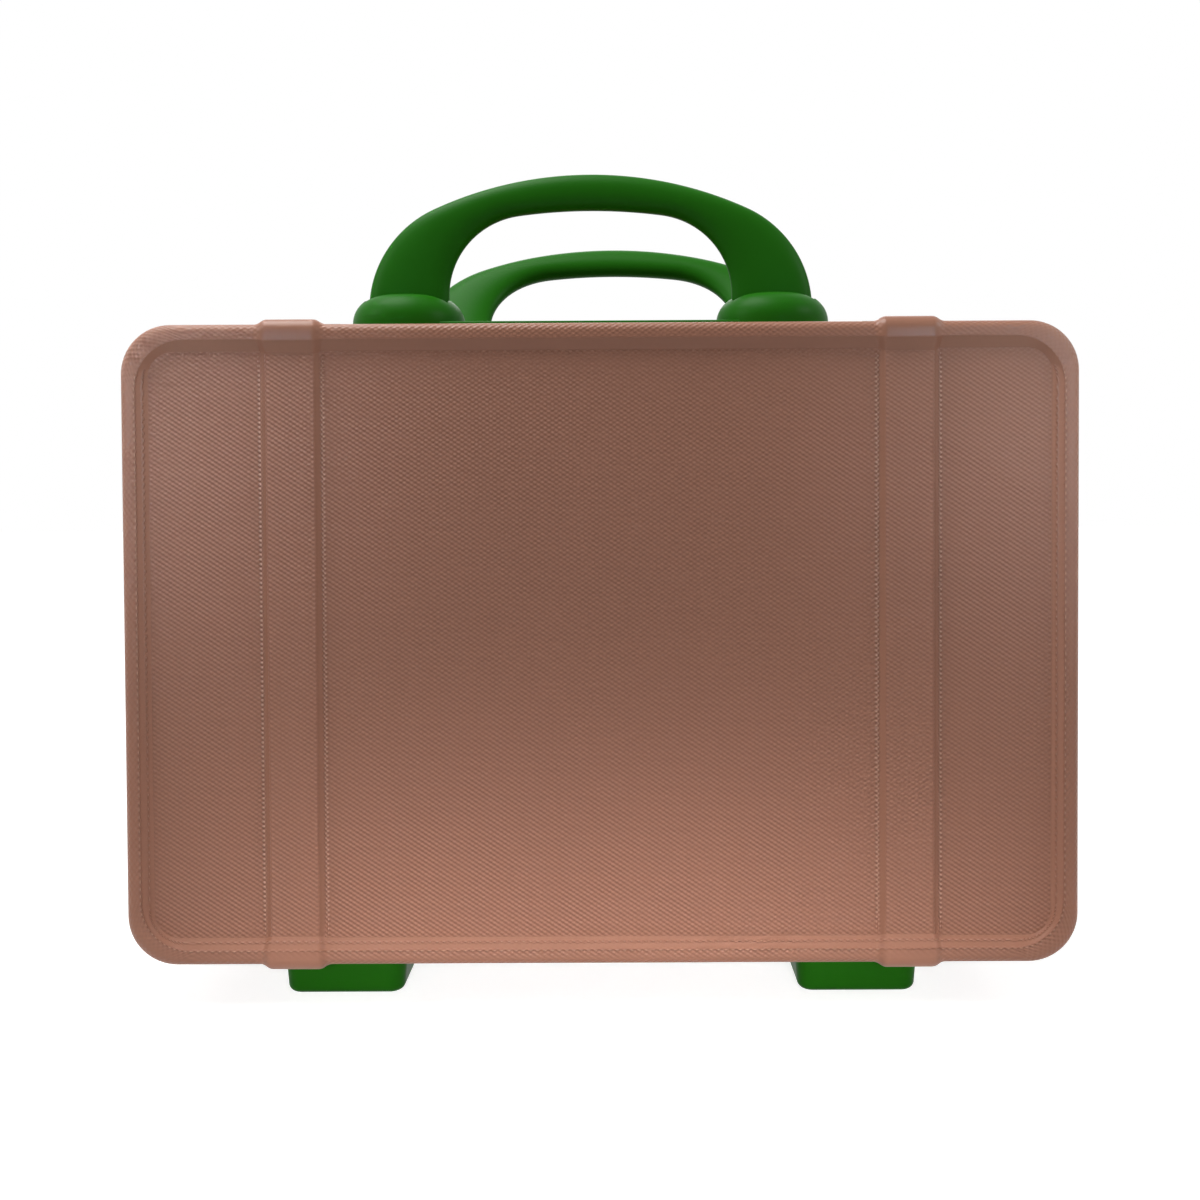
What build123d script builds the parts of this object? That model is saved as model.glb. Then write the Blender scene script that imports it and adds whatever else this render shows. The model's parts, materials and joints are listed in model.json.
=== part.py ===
"""Toy beauty case: a hard clamshell case with two pivoting bail handles.

Two moulded half shells meet at a middle parting plane. They are hinged along
the bottom edge and closed by two latches on top. Each half carries its own
handle, handle base and pair of feet, so the two halves are nearly alike.

Millimetres. X runs along the width, Y through the depth and Z up. The origin is
at the bottom centre, on the surface that the four feet stand on. The front half
is at negative Y and opens as the lid.
"""

import os
from math import cos, hypot, radians, sin

from build123d import *

# Case body
case_width = 310.0
case_height = 208.6
corner_radius = 21.0
half_depth = 68.0
wall = 2.4
parting_gap = 0.3

# Raised rim round each face, and the panel recessed inside it
rim_roll = 4.5
rim_crest = 0.5
rim_slope = 3.8
panel_recess = 2.4
panel_corner = 8.0
cavity_edge = 1.5

# Moulded straps that run up each face
strap_spacing = 200.0
strap_flat = 15.0
strap_slope = 2.3
strap_rise = 1.6
strap_root = 0.1
strap_overrun = 1.0
strap_channel = 9.0

# Lip that joins the halves: a tongue on the lid enters a rebate in the base
lip_length = 2.2
lip_thickness = 1.0
lip_clearance = 0.3

# Fits and fasteners
pin_fit = 0.05
turn_fit = 0.08
screw_fit = 0.05
screw_hole_clearance = 0.25
screw_radius = 1.5

# Bail handles, drawn in their own plane above the pivot
handle_span = 153.8
handle_rise = 49.1
handle_root_width = 27.9
handle_grip = 12.6
handle_depth = 8.8
handle_edge = 4.1
handle_outer_straight = 2.3
handle_outer_shoulder = 38.3
handle_inner_straight = 7.2
handle_inner_shoulder = 27.9
handle_side_offset = -3.5
handle_plane_depth = half_depth / 2
handle_pin_radius = 2.0
handle_swing_clearance = 0.4
front_handle_lean = -4.0
rear_handle_lean = 37.0
handle_stop_lean = 37.5

# Handle base: two domed bosses joined by a flat bridge
boss_radius = 19.3
boss_height = 12.8
boss_edge = 9.2
pivot_height = 7.0
bridge_width = 30.0
bridge_height = 3.0
bridge_edge = 0.8
base_screw_offset = 14.0
base_screw_grip = 7.0
pin_inset = 2.4
pin_bearing = 2.8
backing_thickness = 1.2
backing_width = 36.0
backing_overhang = 8.0
backing_corner = 4.0

# Feet
foot_spacing = 172.4
foot_side_offset = -0.8
foot_width = 41.6
foot_length = 30.0
foot_height = 14.5
foot_setback = 13.0
foot_taper = 1.2
foot_corner = 6.0
foot_bottom_edge = 2.6
foot_wall = 2.6
foot_floor = 3.0
foot_draft = 5.0
foot_post_radius = 4.0
foot_screw_grip = 8.0

# Bottom hinges
hinge_spacing = 80.0
hinge_length = 36.0
hinge_leaf_reach = 17.0
hinge_leaf_start = 3.2
hinge_leaf_thickness = 1.2
hinge_leaf_corner = 2.0
hinge_barrel_radius = 2.6
hinge_barrel_drop = 0.3
hinge_pin_radius = 1.3
hinge_knuckles = 3
hinge_knuckle_gap = 0.3
hinge_screw_spacing = 22.0
hinge_screw_reach = 11.0
hinge_screw_grip = 5.5
hinge_boss_radius = 3.6
hinge_boss_height = 4.5

# Top latches
latch_plate_thickness = 2.0
latch_plate_length = 16.0
latch_plate_gap = 4.0
latch_plate_corner = 2.0
latch_cheek = 1.8
latch_cheek_radius = 3.2
latch_keeper_cheek = 10.0
latch_keeper_height = 5.4
latch_side_gap = 0.4
latch_seat_gap = 0.4
latch_heel_gap = 0.6
latch_pin_reach = 15.0
latch_pin_height = 5.0
latch_pin_radius = 1.2
latch_pin_inset = 0.3
latch_barrel_radius = 2.4
latch_lever_thickness = 2.6
latch_lever_nose = 5.0
latch_lever_lift = 0.4
latch_screw_spacing = 10.0
latch_screw_reach = 9.0
latch_screw_grip = 1.5

# Mirror held by a frame on the inside of the lid
mirror_width = 170.0
mirror_height = 118.0
mirror_thickness = 1.6
mirror_corner = 10.0
mirror_fit = 0.2
frame_border = 6.0
frame_lip = 2.0
frame_lip_thickness = 1.4
frame_edge = 1.0

# Places that follow from the sizes above
bottom = foot_height
top = foot_height + case_height
middle = foot_height + case_height / 2
panel_outside = half_depth - panel_recess
panel_inside = panel_outside - wall
rim_width = rim_roll + rim_crest
strap_width = strap_flat + 2 * strap_slope
latch_end = latch_plate_gap + latch_plate_length
handle_root_centre = (handle_span - handle_root_width) / 2
foot_centre_depth = half_depth - foot_setback - foot_length / 2
hinge_axis_height = bottom - hinge_barrel_drop - hinge_barrel_radius
hinge_pitch = hinge_length / hinge_knuckles
latch_inside = strap_width - 2 * latch_cheek

# Each half has its own frame: x along the width, y up and z out of its face
front_half = Plane(origin=(0, 0, 0), x_dir=(1, 0, 0), z_dir=(0, -1, 0))
rear_half = Plane(origin=(0, 0, 0), x_dir=(-1, 0, 0), z_dir=(0, 1, 0))
sides = {"left": -1, "right": 1}


def level_plane(half, height, across=0.0, depth=0.0):
    """Plane that faces up; its x follows the half and its y runs inwards."""
    place = half.from_local_coords((across, height, depth))
    return Plane(origin=place, x_dir=half.x_dir, z_dir=(0, 0, 1))


def side_plane(half, across=0.0, height=0.0, depth=0.0):
    """Plane that faces along the width; its x runs outwards and its y up."""
    place = half.from_local_coords((across, height, depth))
    return Plane(origin=place, x_dir=half.z_dir, z_dir=-half.x_dir)


def across_in(half, side):
    """Direction of the left or right side of the case in a half's own frame."""
    return sides[side] * half.x_dir.X


def case_outline(inset, radius=None, mode=Mode.ADD):
    """Rounded outline of the case, drawn in by the inset, with its own corners if given."""
    with Locations((0, middle)):
        RectangleRounded(
            case_width - 2 * inset,
            case_height - 2 * inset,
            radius or corner_radius - inset,
            mode=mode,
        )


def base_screw_places():
    """Places under the bosses, along the width and inwards."""
    return [
        (
            handle_side_offset + side * handle_root_centre,
            -handle_plane_depth + row * base_screw_offset,
        )
        for side in (-1, 1)
        for row in (-1, 1)
    ]


def foot_screw_places():
    """Places over the two feet of a half."""
    return [
        (foot_side_offset + sign * foot_spacing / 2, -foot_centre_depth)
        for sign in (-1, 1)
    ]


def hinge_screw_places(sign):
    """Places on one hinge leaf."""
    return [
        (sign * hinge_spacing / 2 + row * hinge_screw_spacing / 2, -hinge_screw_reach)
        for row in (-1, 1)
    ]


def latch_screw_places(sign):
    """Places under one latch plate."""
    return [
        (sign * strap_spacing / 2 + row * latch_screw_spacing / 2, -latch_screw_reach)
        for row in (-1, 1)
    ]


def strap_section(plane, rise):
    """Side view of a strap from the top wall over the face to the bottom wall."""
    face = half_depth + rise
    panel = panel_outside + rise
    roll = rim_roll + rise
    high = top + rise
    low = bottom - rise
    upper_crest = top - rim_width
    lower_crest = bottom + rim_width
    top_end = latch_end + strap_overrun
    bottom_end = half_depth - foot_setback + strap_overrun
    buried = wall / 2
    with BuildSketch(plane) as section:
        with BuildLine():
            Line((top_end, high), (face - roll, high))
            RadiusArc((face - roll, high), (face, high - roll), roll)
            Polyline(
                (face, high - roll),
                (face, upper_crest),
                (panel, upper_crest - rim_slope),
                (panel, lower_crest + rim_slope),
                (face, lower_crest),
                (face, low + roll),
            )
            RadiusArc((face, low + roll), (face - roll, low), roll)
            Polyline(
                (face - roll, low),
                (bottom_end, low),
                (bottom_end, bottom + buried),
                (panel_inside + buried, bottom + buried),
                (panel_inside + buried, top - buried),
                (top_end, top - buried),
                (top_end, high),
            )
        make_face()
    return section.sketch


def discs(plane, places, radius):
    """Equal round sketches at places on a plane."""
    with BuildSketch(plane) as row:
        with Locations(*places):
            Circle(radius)
    return row.sketch


def cavity(half):
    """Space inside one half, with a rounded floor edge."""
    with BuildPart() as space:
        with BuildSketch(half):
            case_outline(wall)
        extrude(amount=panel_inside)
        floor = space.faces().sort_by(Axis(half.origin, half.z_dir))[-1]
        fillet(floor.edges(), cavity_edge)
    return space


def half_shell(half):
    """Moulded half of the case with its rim, panel, straps and screw holes."""
    space = cavity(half)
    with BuildPart() as shell:
        with BuildSketch(half.offset(parting_gap / 2)):
            case_outline(0)
        extrude(amount=half_depth - parting_gap / 2)
        face = shell.faces().sort_by(Axis(half.origin, half.z_dir))[-1]
        fillet(face.edges(), rim_roll)
        with BuildSketch(half.offset(half_depth)):
            case_outline(rim_width)
        with BuildSketch(half.offset(panel_outside)):
            case_outline(rim_width + rim_slope, panel_corner)
        loft(ruled=True, mode=Mode.SUBTRACT)
        for sign in (-1, 1):
            place = side_plane(half, sign * strap_spacing / 2)
            extrude(
                strap_section(place, strap_rise), amount=strap_flat / 2, both=True
            )
            for end in (-1, 1):
                crest = place.offset(end * strap_flat / 2)
                root = place.offset(end * strap_width / 2)
                loft(
                    [
                        strap_section(crest, strap_rise),
                        strap_section(root, -strap_root),
                    ],
                    ruled=True,
                )
        add(space.part, mode=Mode.SUBTRACT)
        with BuildSketch(half.offset(panel_inside)):
            with Locations((-strap_spacing / 2, middle), (strap_spacing / 2, middle)):
                Rectangle(
                    strap_channel,
                    case_height - 2 * (rim_width + rim_slope + strap_channel),
                )
        extrude(amount=strap_rise, mode=Mode.SUBTRACT)
        floor = level_plane(half, bottom)
        ceiling = level_plane(half, top)
        hinge_screws = hinge_screw_places(-1) + hinge_screw_places(1)
        latch_screws = latch_screw_places(-1) + latch_screw_places(1)
        hole_radius = screw_radius + screw_hole_clearance
        posts = discs(floor.offset(wall / 2), hinge_screws, hinge_boss_radius)
        extrude(posts, amount=wall / 2 + hinge_boss_height)
        extrude(
            discs(floor, hinge_screws, screw_radius + screw_fit),
            amount=hinge_screw_grip + screw_fit,
            mode=Mode.SUBTRACT,
        )
        extrude(
            discs(floor, foot_screw_places(), hole_radius),
            amount=wall,
            mode=Mode.SUBTRACT,
        )
        extrude(
            discs(ceiling, base_screw_places() + latch_screws, hole_radius),
            amount=-wall,
            mode=Mode.SUBTRACT,
        )
        if half is front_half:
            with BuildSketch(half.offset(parting_gap / 2)):
                case_outline(wall - lip_thickness)
                case_outline(wall, mode=Mode.SUBTRACT)
            extrude(amount=-lip_length)
        else:
            with BuildSketch(half.offset(parting_gap / 2)):
                case_outline(wall - lip_thickness - lip_clearance)
            extrude(amount=lip_length + lip_clearance, mode=Mode.SUBTRACT)
    return shell


def arch(half_span, rise, straight, shoulder):
    """Three-centred arch from its right foot over the crown to its left foot."""
    run = half_span - shoulder
    lift = rise - straight - shoulder
    drop = (run**2 - lift**2) / (2 * lift)
    share = shoulder / hypot(run, drop)
    knee = (run * (1 + share), straight + drop * share)
    Line((half_span, 0), (half_span, straight))
    right = TangentArc((half_span, straight), knee, tangent=(0, 1))
    crown = TangentArc(knee, (-knee[0], knee[1]), tangent=right % 1)
    TangentArc((-knee[0], knee[1]), (-half_span, straight), tangent=crown % 1)
    Line((-half_span, straight), (-half_span, 0))


def handle_plane(half, lean):
    """Plane of a handle through its pivot, leaning out of the case by the angle."""
    pivot = half.from_local_coords(
        (handle_side_offset, top + pivot_height, handle_plane_depth)
    )
    facing = half.z_dir.rotate(Axis((0, 0, 0), half.x_dir), lean)
    return Plane(origin=pivot, x_dir=half.x_dir, z_dir=facing)


def bail_handle(half, lean):
    """Arched handle whose broad posts narrow into barrels round the pivot pins."""
    plane = handle_plane(half, lean)
    outer_half = handle_span / 2
    inner_half = outer_half - handle_root_width
    with BuildPart() as handle:
        with BuildSketch(plane):
            with BuildLine():
                arch(
                    outer_half,
                    handle_rise,
                    handle_outer_straight,
                    handle_outer_shoulder,
                )
                arch(
                    inner_half,
                    handle_rise - handle_grip,
                    handle_inner_straight,
                    handle_inner_shoulder,
                )
                Line((inner_half, 0), (outer_half, 0))
                Line((-inner_half, 0), (-outer_half, 0))
            make_face()
        extrude(amount=handle_depth / 2, both=True)
        broad = handle.faces().sort_by(Axis(plane.origin, plane.z_dir))
        curves = broad[0].edges() + broad[-1].edges()
        fillet(curves.filter_by(Axis.X, reverse=True), handle_edge)
        for side in (-1, 1):
            root = Plane(
                origin=plane.from_local_coords((side * handle_root_centre, 0, 0)),
                x_dir=plane.y_dir,
                z_dir=plane.x_dir,
            )
            with BuildSketch(root):
                Circle(handle_depth / 2)
            extrude(amount=handle_root_width / 2, both=True)
            with BuildSketch(root):
                Circle(handle_pin_radius + turn_fit)
            extrude(amount=handle_root_width, both=True, mode=Mode.SUBTRACT)
    return handle


def boss_pocket(half, across):
    """Sketch of the slot in a boss, as wide as the handle sweeps between its stops."""
    reach = handle_depth / 2 + handle_swing_clearance
    tall = 2 * boss_height
    wide = tall * sin(radians(handle_stop_lean))
    high = tall * cos(radians(handle_stop_lean))
    pivot = side_plane(half, across, top + pivot_height, handle_plane_depth)
    with BuildSketch(pivot) as slot:
        Circle(reach)
        for lean in (-handle_stop_lean, handle_stop_lean):
            Rectangle(
                2 * reach, tall, rotation=lean, align=(Align.CENTER, Align.MIN)
            )
        Polygon((0, 0), (wide, high), (-wide, high), align=None)
    return slot.sketch


def handle_base(half):
    """Two domed bosses on a flat bridge, with slots and bores for the handle."""
    seat = level_plane(half, top, handle_side_offset, handle_plane_depth)
    pocket_half = handle_root_width / 2 + handle_swing_clearance
    with BuildPart() as base:
        with BuildSketch(seat):
            with Locations((-handle_root_centre, 0), (handle_root_centre, 0)):
                Circle(boss_radius)
        extrude(amount=boss_height)
        crowns = base.faces().group_by(Axis.Z)[-1]
        fillet(crowns.edges(), boss_edge)
        with BuildSketch(seat):
            Rectangle(2 * handle_root_centre, bridge_width)
        extrude(amount=bridge_height)
        long_edges = base.edges().filter_by(Axis.X)
        fillet(long_edges.group_by(Axis.Z)[-1], bridge_edge)
        for side in (-1, 1):
            across = handle_side_offset + side * handle_root_centre
            extrude(
                boss_pocket(half, across),
                amount=pocket_half,
                both=True,
                mode=Mode.SUBTRACT,
            )
            inner, length = handle_pin_ends(half, side)
            with BuildSketch(inner):
                Circle(handle_pin_radius + pin_fit)
            extrude(amount=length + 2 * pin_inset, mode=Mode.SUBTRACT)
        extrude(
            discs(
                level_plane(half, top), base_screw_places(), screw_radius + screw_fit
            ),
            amount=base_screw_grip + screw_fit,
            mode=Mode.SUBTRACT,
        )
    return base


def handle_pin_ends(half, side):
    """Plane of a pin's inner end, facing outwards, and the pin's length."""
    pocket_half = handle_root_width / 2 + handle_swing_clearance
    inner_end = handle_root_centre - pocket_half - pin_bearing
    length = handle_root_centre + boss_radius - pin_inset - inner_end
    place = half.from_local_coords(
        (handle_side_offset + side * inner_end, top + pivot_height, handle_plane_depth)
    )
    return Plane(origin=place, z_dir=half.x_dir * side), length


def handle_pin(half, side):
    """Steel pin pressed into one boss, on which the handle turns."""
    inner, length = handle_pin_ends(half, side)
    with BuildPart() as pin:
        with BuildSketch(inner):
            Circle(handle_pin_radius)
        extrude(amount=length)
    return pin


def backing_strip(half):
    """Steel strip under the top wall that spreads the handle's load."""
    with BuildPart() as strip:
        with BuildSketch(
            level_plane(half, top - wall, handle_side_offset, handle_plane_depth)
        ):
            RectangleRounded(
                2 * (handle_root_centre + backing_overhang),
                backing_width,
                backing_corner,
            )
        extrude(amount=-backing_thickness)
        extrude(
            discs(
                level_plane(half, top - wall),
                base_screw_places(),
                screw_radius + screw_hole_clearance,
            ),
            amount=-backing_thickness,
            mode=Mode.SUBTRACT,
        )
    return strip


def foot(half, sign):
    """Hollow moulded foot with a screw post."""
    across = foot_side_offset + sign * foot_spacing / 2
    seat = level_plane(half, bottom, across, foot_centre_depth)
    with BuildPart() as block:
        with BuildSketch(seat):
            RectangleRounded(foot_width, foot_length, foot_corner)
        with BuildSketch(seat.offset(-foot_height)):
            RectangleRounded(
                foot_width - 2 * foot_taper,
                foot_length - 2 * foot_taper,
                foot_corner - foot_taper,
            )
        loft(ruled=True)
        fillet(block.faces().sort_by(Axis.Z)[0].edges(), foot_bottom_edge)
        with BuildSketch(seat):
            RectangleRounded(
                foot_width - 2 * foot_wall,
                foot_length - 2 * foot_wall,
                foot_corner - foot_wall,
            )
        extrude(
            amount=foot_floor - foot_height, taper=foot_draft, mode=Mode.SUBTRACT
        )
        with BuildSketch(seat.offset(foot_floor / 2 - foot_height)):
            Circle(foot_post_radius)
        extrude(amount=foot_height - foot_floor / 2)
        with BuildSketch(seat):
            Circle(screw_radius + screw_fit)
        extrude(amount=-(foot_screw_grip + screw_fit), mode=Mode.SUBTRACT)
    return block


def hinge_leaf(half, sign, knuckles):
    """Hinge leaf under the bottom wall with its own knuckles round the pin."""
    across = sign * hinge_spacing / 2
    plate_length = hinge_leaf_reach - hinge_leaf_start
    plate_centre = (hinge_leaf_reach + hinge_leaf_start) / 2
    with BuildPart() as leaf:
        with BuildSketch(level_plane(half, bottom, across, plate_centre)):
            RectangleRounded(hinge_length, plate_length, hinge_leaf_corner)
        extrude(amount=-hinge_leaf_thickness)
        for knuckle in knuckles:
            place = across + (knuckle - (hinge_knuckles - 1) / 2) * hinge_pitch
            with BuildSketch(side_plane(half, place, hinge_axis_height)):
                Circle(hinge_barrel_radius)
                with Locations((0, bottom - hinge_axis_height)):
                    Rectangle(
                        hinge_leaf_start + hinge_leaf_corner,
                        hinge_leaf_thickness,
                        align=(Align.MIN, Align.MAX),
                    )
            extrude(amount=(hinge_pitch - hinge_knuckle_gap) / 2, both=True)
        fit = pin_fit if half is rear_half else turn_fit
        with BuildSketch(side_plane(half, across, hinge_axis_height)):
            Circle(hinge_pin_radius + fit)
        extrude(amount=hinge_length, both=True, mode=Mode.SUBTRACT)
        extrude(
            discs(
                level_plane(half, bottom),
                hinge_screw_places(sign),
                screw_radius + screw_hole_clearance,
            ),
            amount=-hinge_leaf_thickness,
            mode=Mode.SUBTRACT,
        )
    return leaf


def hinge_pin(sign):
    """Steel pin through all the knuckles of one hinge."""
    across = sign * hinge_spacing / 2
    with BuildPart() as pin:
        with BuildSketch(side_plane(front_half, across, hinge_axis_height)):
            Circle(hinge_pin_radius)
        extrude(amount=hinge_length / 2, both=True)
    return pin


def latch_plate(half, sign):
    """Flat foot of a latch bracket or keeper."""
    across = sign * strap_spacing / 2
    centre = latch_plate_gap + latch_plate_length / 2
    with BuildSketch(level_plane(half, top, across, centre)) as plate:
        RectangleRounded(strap_width, latch_plate_length, latch_plate_corner)
    return plate.sketch


def latch_screw_bores(half, sign):
    """Thread holes of a latch plate."""
    seat = level_plane(half, top)
    return discs(seat, latch_screw_places(sign), screw_radius + screw_fit)


def latch_bracket(sign):
    """Bracket on the rear half with two cheeks that hold the lever's pin."""
    across = sign * strap_spacing / 2
    with BuildPart() as bracket:
        extrude(latch_plate(rear_half, sign), amount=latch_plate_thickness)
        for side in (-1, 1):
            place = across + side * (strap_width - latch_cheek) / 2
            with BuildSketch(side_plane(rear_half, place, top)):
                with Locations((latch_pin_reach, latch_pin_height)):
                    Circle(latch_cheek_radius)
                    Rectangle(
                        2 * latch_cheek_radius,
                        latch_pin_height,
                        align=(Align.CENTER, Align.MAX),
                    )
            extrude(amount=latch_cheek / 2, both=True)
        with BuildSketch(
            side_plane(rear_half, across, top + latch_pin_height, latch_pin_reach)
        ):
            Circle(latch_pin_radius + pin_fit)
        extrude(amount=strap_width, both=True, mode=Mode.SUBTRACT)
        extrude(
            latch_screw_bores(rear_half, sign),
            amount=latch_screw_grip + screw_fit,
            mode=Mode.SUBTRACT,
        )
    return bracket


def latch_keeper(sign):
    """Keeper on the lid: two low cheeks between which the lever's nose snaps."""
    across = sign * strap_spacing / 2
    centre = latch_plate_gap + latch_plate_length / 2
    with BuildPart() as keeper:
        extrude(latch_plate(front_half, sign), amount=latch_plate_thickness)
        cheek_places = [
            (side * (strap_width - latch_cheek) / 2, 0) for side in (-1, 1)
        ]
        with BuildSketch(level_plane(front_half, top, across, centre)):
            with Locations(*cheek_places):
                Rectangle(latch_cheek, latch_keeper_cheek)
        extrude(amount=latch_keeper_height)
        extrude(
            latch_screw_bores(front_half, sign),
            amount=latch_screw_grip + screw_fit,
            mode=Mode.SUBTRACT,
        )
    return keeper


def latch_lever(sign):
    """Flip lever: a barrel on the pin and an arm that lies across the joint."""
    across = sign * strap_spacing / 2
    width = latch_inside - 2 * latch_side_gap
    under = latch_plate_thickness + latch_seat_gap
    over = under + latch_lever_thickness
    heel = latch_plate_thickness + latch_heel_gap
    tip = -latch_end - latch_lever_nose
    with BuildPart() as lever:
        with BuildSketch(side_plane(rear_half, across, top)):
            with Locations((latch_pin_reach, latch_pin_height)):
                Circle(latch_barrel_radius)
            Polygon(
                (latch_pin_reach, heel),
                (latch_pin_reach, over),
                (-latch_end, over),
                (tip, over + latch_lever_lift),
                (tip, under + latch_lever_lift),
                (-latch_end, under),
                align=None,
            )
        extrude(amount=width / 2, both=True)
        with BuildSketch(
            side_plane(rear_half, across, top + latch_pin_height, latch_pin_reach)
        ):
            Circle(latch_pin_radius + turn_fit)
        extrude(amount=strap_width, both=True, mode=Mode.SUBTRACT)
    return lever


def latch_pin(sign):
    """Steel pin from cheek to cheek of a latch bracket."""
    across = sign * strap_spacing / 2
    with BuildPart() as pin:
        with BuildSketch(
            side_plane(rear_half, across, top + latch_pin_height, latch_pin_reach)
        ):
            Circle(latch_pin_radius)
        extrude(amount=strap_width / 2 - latch_pin_inset, both=True)
    return pin


def mirror():
    """Plastic mirror sheet against the inside of the lid's panel."""
    with BuildPart() as sheet:
        with BuildSketch(front_half.offset(panel_inside)):
            with Locations((0, middle)):
                RectangleRounded(mirror_width, mirror_height, mirror_corner)
        extrude(amount=-mirror_thickness)
    return sheet


def mirror_frame():
    """Frame that laps over the mirror's edge and is bonded to the panel."""
    outer = 2 * (mirror_fit + frame_border)
    thickness = mirror_thickness + frame_lip_thickness + mirror_fit
    with BuildPart() as frame:
        with BuildSketch(front_half.offset(panel_inside)):
            with Locations((0, middle)):
                RectangleRounded(
                    mirror_width + outer,
                    mirror_height + outer,
                    mirror_corner + outer / 2,
                )
        extrude(amount=-thickness)
        inward = frame.faces().sort_by(Axis(front_half.origin, front_half.z_dir))[0]
        fillet(inward.edges(), frame_edge)
        with BuildSketch(front_half.offset(panel_inside)):
            with Locations((0, middle)):
                RectangleRounded(
                    mirror_width + 2 * mirror_fit,
                    mirror_height + 2 * mirror_fit,
                    mirror_corner + mirror_fit,
                )
        extrude(amount=-(mirror_thickness + mirror_fit), mode=Mode.SUBTRACT)
        with BuildSketch(front_half.offset(panel_inside)):
            with Locations((0, middle)):
                RectangleRounded(
                    mirror_width - 2 * frame_lip,
                    mirror_height - 2 * frame_lip,
                    mirror_corner - frame_lip,
                )
        extrude(amount=-thickness, mode=Mode.SUBTRACT)
    return frame


def save(name, piece):
    """Label one finished piece and write it under the same name."""
    piece.part.label = name
    export_step(piece.part, f"parts/{name}.step")


def save_half(name, half, lean):
    """Write the pieces that both halves have."""
    save(f"{name}_shell", half_shell(half))
    save(f"{name}_handle", bail_handle(half, lean))
    save(f"{name}_handle_base", handle_base(half))
    save(f"{name}_backing_strip", backing_strip(half))
    knuckles = range(half is front_half, hinge_knuckles, 2)
    for side in sides:
        sign = across_in(half, side)
        save(f"{name}_handle_pin_{side}", handle_pin(half, sign))
        save(f"{name}_foot_{side}", foot(half, sign))
        save(f"{name}_hinge_leaf_{side}", hinge_leaf(half, sign, knuckles))


def main():
    """Build every piece and write it to the parts folder."""
    os.makedirs("parts", exist_ok=True)
    save_half("front", front_half, front_handle_lean)
    save_half("rear", rear_half, rear_handle_lean)
    for side in sides:
        save(f"hinge_pin_{side}", hinge_pin(sides[side]))
        front_sign = across_in(front_half, side)
        rear_sign = across_in(rear_half, side)
        save(f"latch_keeper_{side}", latch_keeper(front_sign))
        save(f"latch_bracket_{side}", latch_bracket(rear_sign))
        save(f"latch_lever_{side}", latch_lever(rear_sign))
        save(f"latch_pin_{side}", latch_pin(rear_sign))
    save("mirror", mirror())
    save("mirror_frame", mirror_frame())


main()
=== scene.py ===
"""Looks of the toy beauty case, built round its packed CAD frame.

Metres, +Z up, origin at the bottom centre on the floor. The front half is at negative Y. The rear half's
surfaces are the front half's, turned half a turn about the vertical.
"""

import json
from math import cos, pi, radians, sin, tau

import bmesh
import bpy
import numpy as np
from bpy.props import FloatProperty, FloatVectorProperty, PointerProperty
from mathutils import Matrix, Vector


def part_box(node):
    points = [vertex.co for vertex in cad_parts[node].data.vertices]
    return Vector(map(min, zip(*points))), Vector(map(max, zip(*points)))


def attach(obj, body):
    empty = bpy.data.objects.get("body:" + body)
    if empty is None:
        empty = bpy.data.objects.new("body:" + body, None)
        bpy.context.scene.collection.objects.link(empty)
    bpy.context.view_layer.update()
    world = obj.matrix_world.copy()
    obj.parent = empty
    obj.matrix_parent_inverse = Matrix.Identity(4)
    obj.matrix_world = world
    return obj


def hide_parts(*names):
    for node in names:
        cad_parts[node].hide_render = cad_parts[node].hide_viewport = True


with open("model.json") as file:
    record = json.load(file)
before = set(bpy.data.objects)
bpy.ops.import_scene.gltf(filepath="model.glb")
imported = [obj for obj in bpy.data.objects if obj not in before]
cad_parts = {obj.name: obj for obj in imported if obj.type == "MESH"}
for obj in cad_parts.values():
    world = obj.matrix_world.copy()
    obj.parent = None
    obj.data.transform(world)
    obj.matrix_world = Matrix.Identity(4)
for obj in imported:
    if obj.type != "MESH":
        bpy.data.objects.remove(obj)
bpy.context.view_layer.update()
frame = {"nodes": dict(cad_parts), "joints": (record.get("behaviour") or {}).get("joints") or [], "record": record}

bl_info = {
    "name": "Toy beauty case",
    "version": (1, 0, 0),
    "blender": (4, 5, 0),
    "location": "3D View > Sidebar > Toy Case",
    "description": "Moulded shells, handles, fittings and stage of a toy beauty case",
    "category": "Object",
}

SHELL_LOW, SHELL_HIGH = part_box("front_shell")
FOOT_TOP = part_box("front_foot_left")[1].z
BASE_LOW, BASE_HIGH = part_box("front_handle_base")
JOINTS = {joint["name"]: joint for joint in frame["joints"]}
HALVES = {"front": 1, "rear": -1}
SIDES = {"left": -1, "right": 1}
CASE_BODIES = {"front": "lid", "rear": "rear_case"}
ARC_STEPS = 6
PANEL_BORDER = 0.003
PANEL_EDGE = 0.0004
PANEL_SOFT = 0.25
STRAP_FADE = 0.0016


def length(name, description, default):
    """Property of a real length in metres."""
    return FloatProperty(name=name, description=description, default=default, unit="LENGTH", precision=5)


def angle(name, description, degrees):
    """Property of an angle."""
    return FloatProperty(name=name, description=description, default=radians(degrees), unit="ROTATION")


def colour(name, description, default):
    """Property of a linear colour."""
    return FloatVectorProperty(
        name=name, description=description, default=default, subtype="COLOR", min=0, max=1
    )


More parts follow.
